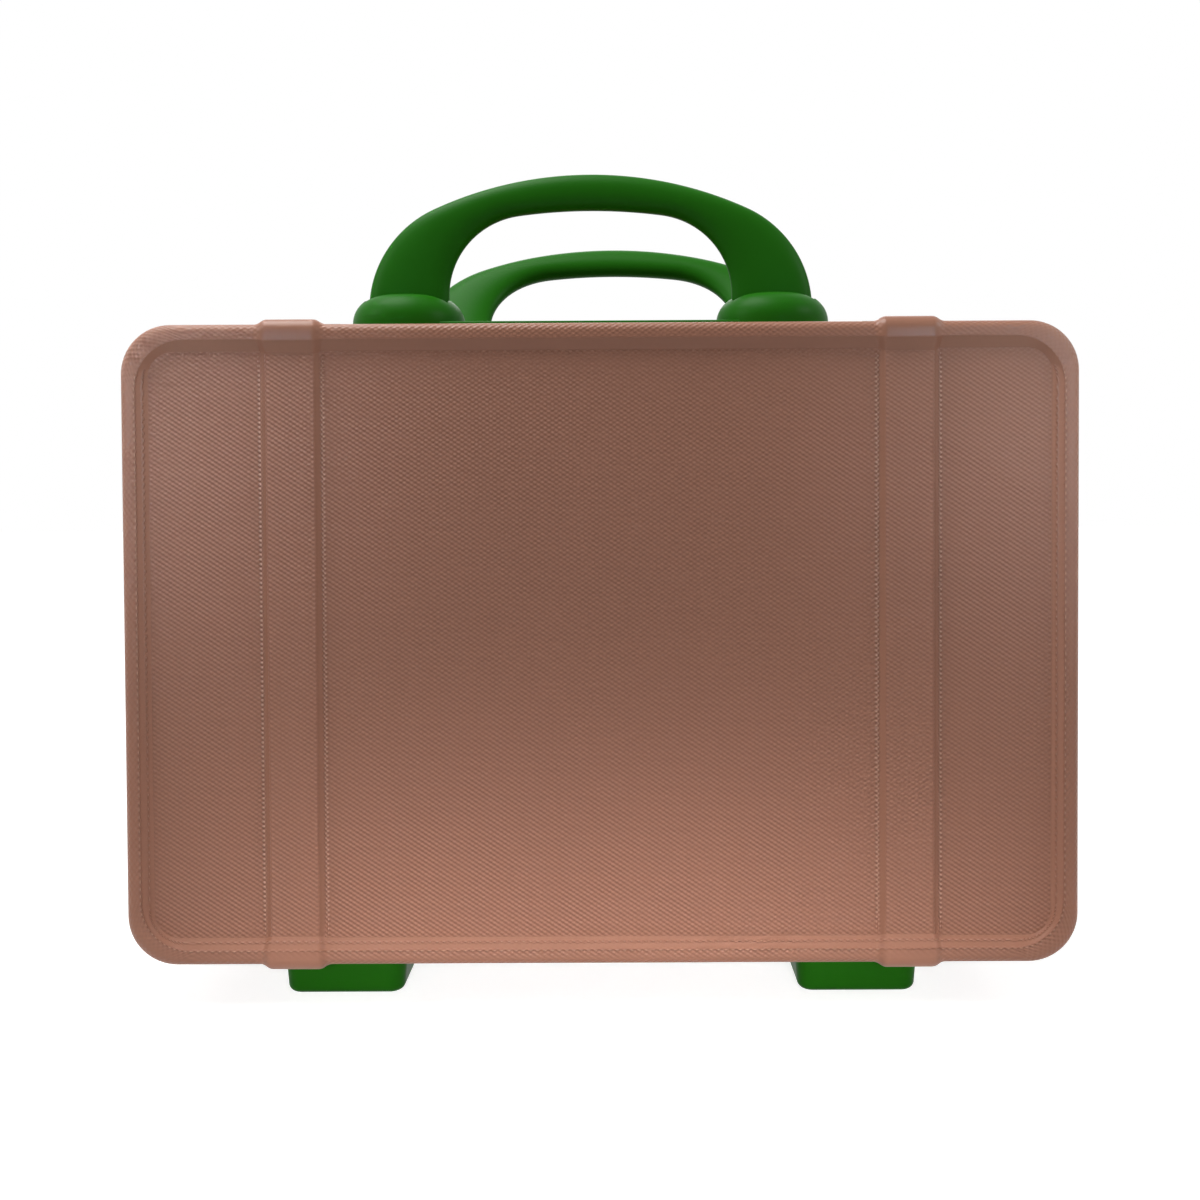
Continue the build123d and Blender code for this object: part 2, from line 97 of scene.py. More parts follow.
class ShellSizes(bpy.types.PropertyGroup):
    """Form of the two moulded half shells"""

    half_width: length("Half width", "Middle to side wall", SHELL_HIGH.x)
    bottom: length("Bottom", "Height of the bottom wall", FOOT_TOP)
    top: length("Top", "Height of the top wall", BASE_LOW.z)
    corner_radius: length("Corner radius", "Radius of the case's four corners", 0.021)
    rise: length("Strap rise", "Height of the straps over the shell", 0.0016)
    wall: length("Wall", "Thickness of the moulded wall", 0.0024)
    recess: length("Panel recess", "Depth of the panel behind the rim", 0.0024)
    roll: length("Rim roll", "Radius of the rim's outer roll", 0.0028)
    rim_width: length("Rim width", "Width of the roll and its crest", 0.0050)
    rim_slope: length("Rim slope", "Run of the slope from the crest to the panel", 0.0038)
    strap_place: length("Strap place", "Middle to each strap's centre line", 0.100)
    strap_flat: length("Strap flat", "Width of the strap's flat top", 0.0146)
    strap_slope: length("Strap slope", "Width of the strap's side on the panel", 0.0028)
    pad_slope: length("Pad slope", "Width of the strap's side where it crosses the rim", 0.0044)
    strap_top_end: length("Strap's top end", "Depth where a strap ends on the top wall", 0.0210)
    strap_bottom_end: length("Strap's bottom end", "Depth where a strap ends under the case", 0.0560)
    channel: length("Channel", "Half width of the hollow behind a strap", 0.0045)
    parting: length("Parting gap", "Half of the gap between the halves", 0.00015)
    lip: length("Lip", "Length of the lid's tongue", 0.0022)
    lip_thickness: length("Lip thickness", "Thickness of the lid's tongue", 0.0010)
    lip_clearance: length("Lip clearance", "Room round the tongue in its rebate", 0.0003)
    panel_corner: length("Panel corner", "Radius of the recessed panel's corners", 0.008)
    floor_edge: length("Floor edge", "Radius of the cavity's floor edge", 0.0015)


class HandleSizes(bpy.types.PropertyGroup):
    """Form of the arched handles"""

    half_span: length("Half span", "Middle to the outer side at the pivot", 0.0769)
    rise: length("Rise", "Pivot to the top of the crown", 0.0491)
    straight: length("Outer straight", "Straight run above the pivot", 0.0023)
    shoulder: length("Outer shoulder", "Radius of the outer shoulders", 0.0383)
    inner_half_span: length("Inner half span", "Middle to the inner side at the pivot", 0.0490)
    inner_rise: length("Inner rise", "Pivot to the underside of the crown", 0.0365)
    inner_straight: length("Inner straight", "Inner straight run above the pivot", 0.0072)
    inner_shoulder: length("Inner shoulder", "Radius of the inner shoulders", 0.0279)
    depth: length("Depth", "Thickness across the handle's plane", 0.0088)
    fullness: FloatProperty(
        name="Fullness", description="How square the crowned section is: 2 is an ellipse", default=2.15
    )
    front_lean: angle("Front lean", "Lean out of the case", -4)
    rear_lean: angle("Rear lean", "Lean out of the case", 37)


class ScrewSizes(bpy.types.PropertyGroup):
    """Pan head screws that hold the fittings"""

    head_radius: length("Head radius", "Radius of the pan head", 0.0030)
    head_height: length("Head height", "Height of the pan head", 0.0017)
    shank_radius: length("Shank radius", "Radius of the shank", 0.00145)
    recess_depth: length("Recess depth", "Depth of the cross recess", 0.0010)
    recess_arm: length("Recess arm", "Reach of the cross recess", 0.0017)
    recess_width: length("Recess width", "Half width of an arm of the recess", 0.00045)
    boss_radius: length("Boss radius", "Radius of a handle boss", 0.0193)
    boss_row: length("Boss row", "Handle pivot to a boss screw", 0.0140)
    hinge_row: length("Hinge row", "Middle of a leaf to a hinge screw", 0.0110)
    hinge_reach: length("Hinge reach", "Joint to a hinge screw", 0.0110)
    latch_row: length("Latch row", "Middle of a plate to a latch screw", 0.0050)
    latch_reach: length("Latch reach", "Joint to a latch screw", 0.0090)
    leaf: length("Leaf", "Thickness of a hinge leaf", 0.0012)
    base_shank: length("Base shank", "Shank of a handle base's screw", 0.0105)
    foot_shank: length("Foot shank", "Shank of a foot's screw", 0.0104)
    hinge_shank: length("Hinge shank", "Shank of a hinge screw", 0.0066)
    latch_shank: length("Latch shank", "Shank of a latch screw", 0.0038)


class Finishes(bpy.types.PropertyGroup):
    """Colours and grain of the finishes"""

    shell: colour("Shell", "Rose brown of the shells", (0.374, 0.166, 0.105))
    green: colour("Green", "Leaf green of the handles and fittings", (0.012, 0.118, 0.003))
    steel: colour("Steel", "Pins, hinges and screws", (0.56, 0.56, 0.55))
    mirror: colour("Mirror", "Silvered sheet", (0.86, 0.88, 0.88))
    # Painted shade: the darker rose brown mixed in on the slopes, crest, straps' sides and grain hollows.
    smooth: colour("Smooth", "Deeper rose brown of the smooth slopes", (0.25, 0.103, 0.058))
    # Painted highlight: the paler colour mixed in on the tops of the grain's ridges.
    tip: colour("Painted highlight", "Paler ends of the grain's ridges", (0.62, 0.36, 0.26))
    grain_width: length("Grain width", "Width of one diamond of the grain", 0.00235)
    grain_height: length("Grain height", "Height of one diamond of the grain", 0.00153)
    grain_depth: length("Grain depth", "Height of the grain's ridges", 0.00032)


class StageSettings(bpy.types.PropertyGroup):
    """Floor, lamps and camera"""

    floor: colour("Floor", "Pale floor", (0.52, 0.52, 0.52))
    world_strength: FloatProperty(name="Room light", description="Light from all sides", default=0.16)
    camera_place: FloatVectorProperty(
        name="Camera", description="Place of the lens", default=(0.0074, -0.4872, 0.1670), unit="LENGTH"
    )
    pitch: angle("Pitch", "Upward tilt of the camera", -1.28)
    yaw: angle("Yaw", "Turn of the camera to the left", 0.18)
    roll: angle("Roll", "Turn of the picture", -0.30)
    lens: FloatProperty(name="Lens", description="Focal length in millimetres", default=39.0)
    shift_x: FloatProperty(name="Shift X", description="Sideways shift of the picture", default=-0.0158)
    shift_y: FloatProperty(name="Shift Y", description="Upward shift of the picture", default=-0.0625)


SETTINGS = {
    "toy_shell": ShellSizes,
    "toy_handle": HandleSizes,
    "toy_screw": ScrewSizes,
    "toy_finish": Finishes,
    "toy_stage": StageSettings,
}


# Curves and ramps


def rounded_path(corners, radii, steps=ARC_STEPS):
    """Plane path whose inner corners are rounded.

    An arc starts where the path is r tan(turn / 2) short of its corner. Its point at the angle a is
    start + r (sin a along the incoming run + (1 - cos a) across it).
    """
    corners = np.array(corners, float)
    runs = np.diff(corners, axis=0)
    runs /= np.linalg.norm(runs, axis=1)[:, None]
    parts = [corners[:1]]
    for corner, before, after, radius in zip(corners[1:-1], runs[:-1], runs[1:], radii):
        turn = np.arctan2(before[0] * after[1] - before[1] * after[0], before @ after)
        across = np.sign(turn) * np.array([-before[1], before[0]])
        angle = np.linspace(0, abs(turn), steps + 1)[:, None]
        start = corner - before * radius * np.tan(abs(turn) / 2)
        parts.append(start + radius * (np.sin(angle) * before + (1 - np.cos(angle)) * across))
    parts.append(corners[-1:])
    return np.concatenate(parts)


def soft_ramp(t, soft=0.3):
    """0 to 1 as t goes from 0 to 1: a straight ramp whose two ends are rounded over the share soft."""
    t = np.clip(t, 0, 1)
    scale = 2 * soft * (1 - soft)
    middle = (t - soft / 2) / (1 - soft)
    return np.where(t < soft, t**2 / scale, np.where(t > 1 - soft, 1 - (1 - t) ** 2 / scale, middle))


def arch_curve(half_span, rise, straight, shoulder, steps):
    """Three-centred arch from its right foot to its crown, at even lengths.

    A straight run, an arc of the shoulder radius R1 about (half_span - R1, straight), and a crown arc about a
    point on the middle line that meets the shoulder with one tangent.
    """
    run = half_span - shoulder
    lift = rise - straight - shoulder
    drop = (run**2 - lift**2) / (2 * lift)
    knee = np.arctan2(drop, run)
    crown = np.hypot(run, drop) + shoulder
    ends = np.cumsum([straight, shoulder * knee, crown * (pi / 2 - knee)])
    along = np.linspace(0, ends[-1], steps)
    first = np.clip((along - ends[0]) / shoulder, 0, knee)
    second = knee + np.clip((along - ends[1]) / crown, 0, pi / 2)
    on_shoulder = along < ends[1]
    x = np.where(on_shoulder, run + shoulder * np.cos(first), crown * np.cos(second))
    y = straight + np.where(on_shoulder, shoulder * np.sin(first), crown * np.sin(second) - drop)
    return np.stack([x, np.where(along < ends[0], along, y)], axis=1)


# Meshes


def weld(name, patches):
    """Closed mesh from patches of points, merged where their edges meet, with soft shading across its faces.

    A patch is (points, uv, grain, shade): a grid of points, and for each point its place in the pattern, how
    strongly the moulded grain shows and how much painted shade darkens its colour.
    """
    merged_within, collapsed_under, sharp_over = 2e-6, 1e-7, radians(50)
    points, uvs, grains, painted_shades, faces = [], [], [], [], []
    count = 0
    for grid, uv, grain, painted_shade in patches:
        rows, columns = grid.shape[:2]
        number = count + np.arange(rows * columns).reshape(rows, columns)
        quads = [number[:-1, :-1], number[:-1, 1:], number[1:, 1:], number[1:, :-1]]
        faces.append(np.stack(quads, axis=-1).reshape(-1, 4))
        points.append(grid.reshape(-1, 3))
        uvs.append(np.broadcast_to(uv, (rows, columns, 2)).reshape(-1, 2))
        grains.append(np.broadcast_to(grain, (rows, columns)).ravel())
        painted_shades.append(np.broadcast_to(painted_shade, (rows, columns)).ravel())
        count += rows * columns
    points, uvs, faces = (np.concatenate(part) for part in (points, uvs, faces))
    mesh = bpy.data.meshes.new(name)
    mesh.vertices.add(len(points))
    mesh.vertices.foreach_set("co", points.ravel())
    mesh.loops.add(faces.size)
    mesh.loops.foreach_set("vertex_index", faces.ravel())
    mesh.polygons.add(len(faces))
    mesh.polygons.foreach_set("loop_start", np.arange(0, faces.size, 4))
    mesh.update(calc_edges=True)
    layer = mesh.uv_layers.new(name="pattern")
    layer.data.foreach_set("uv", uvs[faces.ravel()].ravel())
    # The second attribute holds painted shade.
    for label, shares in (("grain", grains), ("painted_shade", painted_shades)):
        shown = mesh.attributes.new(label, "FLOAT", "POINT")
        shown.data.foreach_set("value", np.concatenate(shares).astype(np.float32))
    form = bmesh.new()
    form.from_mesh(mesh)
    bmesh.ops.remove_doubles(form, verts=form.verts, dist=merged_within)
    bmesh.ops.dissolve_degenerate(form, edges=form.edges, dist=collapsed_under)
    bmesh.ops.recalc_face_normals(form, faces=form.faces)
    form.to_mesh(mesh)
    form.free()
    mesh.polygons.foreach_set("use_smooth", np.ones(len(mesh.polygons), bool))
    mesh.set_sharp_from_angle(angle=sharp_over)
    return mesh


def make_piece(name, patches, body, material, replaced=()):
    """Object from patches that rides on a body and takes the finish given to it."""
    piece = bpy.data.objects.new(name, weld(name, patches))
    bpy.context.scene.collection.objects.link(piece)
    piece.data.materials.append(material)
    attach(piece, body)
    if replaced:
        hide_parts(*replaced)


def half_turn(points, half):
    """Points of the front half, turned half a turn about the vertical for the rear half."""
    return points * np.array([HALVES[half], HALVES[half], 1.0])


# Half shells


def strap_share(across, width, soft, sizes):
    """How far a point is up a strap: 1 on its flat, 0 beside it and a soft ramp between."""
    off = np.abs(np.abs(across) - sizes.strap_place)
    return soft_ramp((sizes.strap_flat / 2 + width - off) / width, soft)


def off_flank(share, steep):
    """1 on a strap's flat and beside the strap, 0 on its sloping sides, from how far a point is up it."""
    return np.clip(1.4 - steep * (1 - np.abs(2 * share - 1)), 0, 1)


def shell_columns(sizes):
    """Places across the case's straight top, close together at the straps' sides and channels."""
    reach = sizes.half_width - sizes.corner_radius
    inwards, outwards = 0.0012, 0.0006
    channel_reach = 0.0007
    least_gap = 0.0008
    side = np.linspace(-inwards, sizes.pad_slope + outwards, 27) + sizes.strap_flat / 2
    channel = np.linspace(-channel_reach, channel_reach, 6) + sizes.channel
    near = np.concatenate([side, channel])
    near = np.concatenate([-near, near])
    near = np.concatenate([near - sizes.strap_place, near + sizes.strap_place])
    plain = np.linspace(-reach, reach, 111)
    gap = np.min(np.abs(plain[:, None] - near[None, :]), axis=1)
    return np.sort(np.concatenate([plain[gap > least_gap], near]))


def shell_outline(sizes):
    """Core points and outward directions round the case, and the number of top columns.

    The core is the rectangle of the corners' centres: out turns evenly at its corners and is steady along its
    sides.
    """
    reach = sizes.half_width - sizes.corner_radius
    rise = (sizes.top - sizes.bottom) / 2 - sizes.corner_radius
    turn = np.linspace(pi, pi / 2, 17)
    columns = shell_columns(sizes)
    core_x = np.concatenate([np.full(len(turn), -reach), columns[1:-1], np.full(len(turn), reach)])
    angle = np.concatenate([turn, np.full(len(columns) - 2, pi / 2), pi - turn[::-1]])
    top_core = np.stack([core_x, np.full(len(core_x), rise)], axis=1)
    top_out = np.stack([np.cos(angle), np.sin(angle)], axis=1)
    side = np.linspace(rise, -rise, 41)[1:-1]
    side_core = np.stack([np.full(len(side), reach), side], axis=1)
    side_out = np.tile([1.0, 0.0], (len(side), 1))
    core = np.concatenate([top_core, side_core, -top_core, -side_core, top_core[:1]])
    out = np.concatenate([top_out, side_out, -top_out, -side_out, top_out[:1]])
    return core, out, len(core_x)


def rim_profile(face, rise, sizes):
    """Section from the panel's border up the slope, over the crest and round the roll, raised for a strap.

    The slope's straight part has rows of its own, so that the grain and the colour change only at its ends.
    """
    panel_bend, crest_bend, roll_slack = 0.0010, 0.0011, 1e-5
    foot_shift, crest_shift, bend_shift = 0.0009, 0.0005, 0.0002
    foot = sizes.rim_width + sizes.rim_slope
    panel = face - sizes.recess
    strapped = rise > 0
    path = rounded_path(
        [
            (foot + PANEL_BORDER, panel + rise),
            (foot + foot_shift * strapped, panel + rise),
            (sizes.rim_width + crest_shift * strapped, face + rise),
            (-rise, face + rise),
            (-rise, face - sizes.roll),
        ],
        [panel_bend, crest_bend - bend_shift * strapped, sizes.roll + rise - roll_slack],
    )
    slope_start = ARC_STEPS + 1
    share = np.linspace(0, 1, 12)[1:-1, None]
    rows = path[slope_start] + share * (path[slope_start + 1] - path[slope_start])
    return np.concatenate([path[: slope_start + 1], rows, path[slope_start + 1 :]])


def side_rows(sizes):
    """Depths of the rows down the side wall, close together where the straps end."""
    margin = 0.0002
    steps = np.linspace(STRAP_FADE + margin, -margin, 9)
    between, to_joint = [0.048, 0.035], [0.012, 0.004]
    return np.concatenate([sizes.strap_bottom_end + steps, between, sizes.strap_top_end + steps, to_joint])


def lip_profile(half, sizes):
    """Section from the joint round the lid's tongue, or the rebate for it, and back along the inside."""
    joint = sizes.parting
    outer = sizes.wall - sizes.lip_thickness
    tip = joint - sizes.lip
    if half == "rear":
        outer -= sizes.lip_clearance
        tip = joint + sizes.lip + sizes.lip_clearance
    inside = -SHELL_LOW.y - sizes.rise - sizes.recess - sizes.wall
    start, halfway = 0.0012, 0.030
    joint_edge, joint_corner, lip_edge, inner_edge = 0.00045, 0.00012, 0.00025, 0.0001
    return rounded_path(
        [
            (0, start),
            (0, joint),
            (outer, joint),
            (outer, tip),
            (sizes.wall, tip),
            (sizes.wall, halfway),
            (sizes.wall, inside),
            (sizes.rim_width + sizes.rim_slope + PANEL_BORDER, inside),
        ],
        [joint_edge, joint_corner, lip_edge, lip_edge, inner_edge, sizes.floor_edge],
        steps=4,
    )


def shell_profile(half, sizes):
    """Section of the wall as (inset, depth): plain, where a strap runs over it, and its count of outer rows.

    The path goes from the panel's border over the rim to the joint, round the lip and back along the inside.
    """
    face = -SHELL_LOW.y - sizes.rise
    side = side_rows(sizes)
    lip = lip_profile(half, sizes)
    profiles = []
    for rise in (0.0, sizes.rise):
        wall = np.stack([np.full(len(side), -rise), side], axis=1)
        profiles.append(np.concatenate([rim_profile(face, rise, sizes), wall, lip]))
    plain, strap = profiles
    return plain, strap, len(plain) - len(lip)


def corner_at(inset, sizes):
    """Corner radius of the outline at an inset: concentric as far as the crest, then down to the panel's."""
    inner_run, inner_share = 0.004, 0.6
    slope_end = sizes.rim_width + sizes.rim_slope
    marks = [sizes.rim_width, slope_end, slope_end + inner_run]
    radii = [sizes.corner_radius - sizes.rim_width, sizes.panel_corner, sizes.panel_corner * inner_share]
    return np.minimum(sizes.corner_radius - inset, np.interp(inset, marks, radii))


def ring_lift(core, out, plain, sizes):
    """How far each ring point is up a strap, which crosses the straight top and bottom as far as its ends."""
    flat_from, more_soft = 0.99, 0.2
    rim = np.clip((sizes.rim_width + sizes.rim_slope - plain[:, :1]) / sizes.rim_slope, 0, 1)
    width = sizes.strap_slope + (sizes.pad_slope - sizes.strap_slope) * rim
    up = strap_share(core[None, :, 0], width, PANEL_SOFT + more_soft * rim, sizes)
    flat_side = np.abs(out[None, :, 1]) > flat_from
    end = np.where(out[:, 1] > 0, sizes.strap_top_end, sizes.strap_bottom_end)
    shown = soft_ramp((plain[:, 1:] - end[None, :]) / STRAP_FADE)
    return up * shown * flat_side


def ring_places(core, out, inset, sizes):
    """Ring points (x, z) about the shell's middle: core + shift + r out.

    Here r is the corner radius at the inset, and the shift moves the corner's centre out by R - inset - r.
    """
    slack = 1e-6
    radius = corner_at(inset, sizes)
    shift = (sizes.corner_radius - inset - radius)[..., None]
    reach = np.array([sizes.half_width, (sizes.top - sizes.bottom) / 2]) - sizes.corner_radius - slack
    at_corner = (np.abs(core) > reach).all(axis=1, keepdims=True)
    away = np.sign(core) * np.where(at_corner, 1.0, np.abs(np.round(out)))
    return core[None] + shift * away[None] + radius[..., None] * out[None]


def ring_shades(out, plain, up, sizes):
    """How strongly the grain shows and how much painted shade there is at each ring point.

    The slope has no grain but for two dotted lines, which the top side lacks. Painted shade darkens the slope,
    more on the top side, where it faces down, and the rim along the top and the straps' sides on the rim.
    """
    line_places, line_width, line_strength = np.array([0.0001, 0.0023]), 0.00035, 1.6
    side_grain, face_depth = 0.5, 0.050
    slope_shade_share, top_slope_shade_share = 0.25, 0.65
    crest_shade_share, crest_shade_on_strap, flank_shade_share = 0.45, 0.25, 0.6
    inset = plain[:, :1]
    top_side = out[None, :, 1] > 0.3
    foot = sizes.rim_width + sizes.rim_slope
    lines = sizes.rim_width + line_places
    slope = (inset > lines[0]) & (inset < foot)
    near_face = plain[:, 1:] > face_depth
    grain = np.where(inset > foot - PANEL_EDGE, off_flank(up, 3), side_grain * (1 - up * near_face))
    # Dotted lines: stronger grain bump, with painted highlight on ridges and painted shade in hollows.
    dotted = np.exp(-(((inset - lines) / line_width) ** 2)).sum(axis=1)[:, None] * ~top_side
    # Painted shade on the slope, more on the top side, on the rim along the top and on the straps' sides.
    slope_shade = np.where(top_side, top_slope_shade_share, slope_shade_share) * slope
    crest_shade = (crest_shade_share + crest_shade_on_strap * up) * (inset <= sizes.rim_width) * near_face * top_side
    flank_shade = flank_shade_share * 4 * up * (1 - up) * near_face
    painted_shade = np.maximum(np.maximum(slope_shade, crest_shade), flank_shade)
    return np.where(slope, 0.0, grain) + line_strength * dotted, painted_shade


def panel_shades(across, lift, sizes):
    """How strongly the grain shows and how much painted shade there is at points of the outer panel.

    The straps' sides have no grain and carry painted shade, and a dotted line runs beside each of them.
    """
    line_place, line_width, line_strength = 0.0001, 0.0005, 1.5
    flank_shade_share, flank_spread = 0.6, 1.3
    beside = np.abs(np.abs(across) - sizes.strap_place) - sizes.strap_flat / 2 - sizes.strap_slope
    # Dotted line: stronger grain bump, with painted highlight on ridges and painted shade in hollows.
    dotted = line_strength * np.exp(-(((beside - line_place) / line_width) ** 2))
    # Painted shade on the straps' sloping sides.
    painted_shade = flank_shade_share * np.clip(flank_spread * np.sqrt(4 * lift * (1 - lift)), 0, 1)
    return off_flank(lift, 4) + dotted, painted_shade


def panel_patch(top_row, depth, inner, half, sizes):
    """Panel whose points run in a straight line between the ring's top and bottom points of each column."""
    rows = np.linspace(-1, 1, 41)[:, None]
    height = rows * top_row[None, :, 1]
    across = np.broadcast_to(top_row[:, 0], height.shape)
    if inner:
        channel_edge, channel_side, channel_end = 0.0005, 0.001, 0.009
        off = np.abs(np.abs(across) - sizes.strap_place)
        ends = soft_ramp((top_row[None, :, 1] - np.abs(height)) / channel_end)
        lift = soft_ramp((sizes.channel + channel_edge - off) / channel_side) * ends
        grain, painted_shade = 0.0, 0.0
    else:
        lift = strap_share(across, sizes.strap_slope, PANEL_SOFT, sizes)
        grain, painted_shade = panel_shades(across, lift, sizes)
    middle = (sizes.top + sizes.bottom) / 2
    points = np.stack([across, -(depth + sizes.rise * lift), height + middle], axis=-1)
    return half_turn(points, half), points[..., [0, 2]], grain, painted_shade


def shell_patches(half, sizes):
    """Ring from the panel's border round the wall to the inside, and the two panels that close it.

    The plain and the strapped profile are mixed by how far a point is up a strap. The pattern is laid flat on
    the panel and wrapped round the wall elsewhere.
    """
    core, out, top_count = shell_outline(sizes)
    plain, strap, outer_rows = shell_profile(half, sizes)
    outside = np.arange(len(plain))[:, None] < outer_rows
    up = ring_lift(core, out, plain, sizes) * outside
    mixed = plain[:, None] + (strap - plain)[:, None] * up[..., None]
    places = ring_places(core, out, mixed[..., 0], sizes)
    middle = (sizes.top + sizes.bottom) / 2
    ring = np.stack([places[..., 0], -mixed[..., 1], places[..., 1] + middle], axis=-1)
    around = np.cumsum(np.r_[0, np.linalg.norm(np.diff(core + sizes.corner_radius * out, axis=0), axis=1)])
    along = np.cumsum(np.r_[0, np.linalg.norm(np.diff(plain, axis=0), axis=1)])
    wrapped = np.stack(np.broadcast_arrays(around[None, :], along[:, None]), axis=-1)
    on_panel = (plain[:, :1] > sizes.rim_width + sizes.rim_slope - PANEL_EDGE) & outside
    ring_uv = np.where(on_panel[..., None], ring[..., [0, 2]], wrapped)
    grain, painted_shade = ring_shades(out, plain, up, sizes)
    panels = [
        panel_patch(places[row, :top_count], plain[row, 1], inner, half, sizes)
        for row, inner in ((0, False), (len(plain) - 1, True))
    ]
    return [(half_turn(ring, half), ring_uv, grain * outside, painted_shade * outside), *panels]


class ToyShells(bpy.types.Operator):
    """Make the two moulded half shells with rim, panel, straps, lip and cavity"""

    bl_idname = "toy_case.shells"
    bl_label = "Half Shells"

    def execute(self, context):
        sizes = context.scene.toy_shell
        for half in HALVES:
            make_piece(
                f"{half}_shell_moulding",
                shell_patches(half, sizes),
                CASE_BODIES[half],
                shell_plastic(context.scene.toy_finish),
                [f"{half}_shell"],
            )
        return {"FINISHED"}


# Handles


def handle_section(half_width, half_depth, fullness, steps):
    """Crowned section (w cos^(2/n) a, d sin^(2/n) a), where n is its fullness: 2 is an ellipse."""
    angle = np.linspace(0, tau, steps + 1)
    across, through = np.cos(angle), np.sin(angle)
    across = np.sign(across) * np.abs(across) ** (2 / fullness)
    through = np.sign(through) * np.abs(through) ** (2 / fullness)
    return half_width[:, None] * across, half_depth * through


def handle_patches(half, sizes):
    """Arched handle with a rounded section and barrel ends.

    The outer and inner arches give each section's middle and half width. Below the pivot a section sinks by
    R sin a while its depth shrinks by cos a, which is a barrel of radius R.
    """
    sections, round_points, barrel_rows = 90, 64, 11
    outer = arch_curve(sizes.half_span, sizes.rise, sizes.straight, sizes.shoulder, sections)
    inner = arch_curve(
        sizes.inner_half_span, sizes.inner_rise, sizes.inner_straight, sizes.inner_shoulder, sections
    )
    half_depth = sizes.depth / 2
    middle = (outer + inner) / 2
    reach = (outer - inner) / 2
    half_width = np.linalg.norm(reach, axis=1)
    along, through = handle_section(half_width, half_depth, sizes.fullness, round_points)
    spread = along[..., None] * (reach / half_width[:, None])[:, None, :]
    plane = middle[:, None, :] + spread
    body = np.stack([plane[..., 0], plane[..., 1], np.broadcast_to(through, along.shape)], axis=-1)
    turn = np.linspace(pi / 2, 0, barrel_rows)[:-1, None]
    barrel = np.broadcast_arrays(body[:1, :, 0], -half_depth * np.sin(turn), body[:1, :, 2] * np.cos(turn))
    barrel = np.stack(barrel, axis=-1)
    right = np.concatenate([barrel, body])
    arch = np.concatenate([right, (right * [-1, 1, 1])[-2::-1]])
    lean = sizes.front_lean if half == "front" else sizes.rear_lean
    up = np.array([0, -sin(lean), cos(lean)])
    out = np.array([0, -cos(lean), -sin(lean)])
    pivot = np.array(JOINTS[f"{half}_handle_pivot"]["pos_m"]) * [HALVES[half], HALVES[half], 1]
    points = pivot + arch[..., :1] * [1, 0, 0] + arch[..., 1:2] * up + arch[..., 2:] * out
    return [(half_turn(points, half), arch[..., :2], 0.0, 0.0)]


class ToyHandles(bpy.types.Operator):
    """Make the two arched handles"""

    bl_idname = "toy_case.handles"
    bl_label = "Handles"

    def execute(self, context):
        for half in HALVES:
            make_piece(
                f"{half}_handle_moulding",
                handle_patches(half, context.scene.toy_handle),
                f"{half}_handle",
                green_plastic(context.scene.toy_finish),
                [f"{half}_handle"],
            )
        return {"FINISHED"}


# Screws


def screw_patches(places, upwards, shank, sizes):
    """Pan head screws at places, the head's seat at each place and the shank leading upwards or downwards.

    A square grid is laid on the disc by x sqrt(1 - y^2 / 2), y sqrt(1 - x^2 / 2). Over it the head's height
    is H (1 - r^4) ^ 0.5, less a cross recess. The underside and the shank are turned about the screw's axis.
    """
    side = np.linspace(-1, 1, 29)
    arm_side, arm_end = 1.6, 3.0
    s, t = np.meshgrid(side, side)
    x, y = s * np.sqrt(1 - t**2 / 2), t * np.sqrt(1 - s**2 / 2)
    radius = np.minimum(np.hypot(x, y), 1)
    dome = sizes.head_height * np.sqrt(1 - radius**4)
    x, y = x * sizes.head_radius, y * sizes.head_radius
    arms = []
    for a, b in ((x, y), (y, x)):
        width = soft_ramp(arm_side - np.abs(a) / sizes.recess_width)
        arms.append(width * soft_ramp(arm_end * (1 - np.abs(b) / sizes.recess_arm)))
    head = np.stack([x, y, dome - sizes.recess_depth * np.maximum(*arms)], axis=-1)
    point = sizes.shank_radius / 2
    radii = [sizes.head_radius, sizes.shank_radius, sizes.shank_radius, point, 0]
    profile = np.stack([radii, [0, 0, -shank, -shank - point, -shank - point]], axis=1)
    edge = np.concatenate([head[0, :-1], head[:-1, -1], head[-1, :0:-1], head[::-1, 0]])[:, :2]
    edge /= np.linalg.norm(edge, axis=1)[:, None]
    heights = np.broadcast_to(profile[:, None, 1:], (len(profile), len(edge), 1))
    turned = np.concatenate([profile[:, None, :1] * edge[None], heights], axis=-1)
    way = np.array([1, -1, -1]) if upwards else np.array([1, 1, 1])
    return [(grid * way + place, grid[..., :2], 0.0, 0.0) for place in places for grid in (head, turned)]


def centre(node):
    """Middle of a CAD node's box."""
    low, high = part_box(node)
    return (low + high) / 2


def screw_groups(sizes, shell):
    """Places, direction and shank of the screws of one half, by name, in the front half's place."""
    signs = (-1, 1)
    base = centre("front_handle_base")
    boss = (BASE_HIGH.x - BASE_LOW.x) / 2 - sizes.boss_radius
    under_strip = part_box("front_backing_strip")[0].z
    feet = [centre(f"front_foot_{side}") for side in SIDES]
    leaves = [centre(f"front_hinge_leaf_{side}").x for side in SIDES]
    plates = [centre(f"latch_keeper_{side}").x for side in SIDES]
    under_leaf = shell.bottom - sizes.leaf
    under_top = shell.top - shell.wall
    over_bottom = shell.bottom + shell.wall
    boss_y = [base.y + b * sizes.boss_row for b in signs]
    base_places = [(base.x + a * boss, y, under_strip) for a in signs for y in boss_y]
    foot_places = [(foot.x, foot.y, over_bottom) for foot in feet]
    hinge_places = [(x + a * sizes.hinge_row, -sizes.hinge_reach, under_leaf) for x in leaves for a in signs]
    latch_places = [(x + a * sizes.latch_row, -sizes.latch_reach, under_top) for x in plates for a in signs]
    return {
        "handle_screws": (base_places, True, sizes.base_shank),
        "foot_screws": (foot_places, False, sizes.foot_shank),
        "hinge_screws": (hinge_places, True, sizes.hinge_shank),
        "latch_screws": (latch_places, True, sizes.latch_shank),
    }


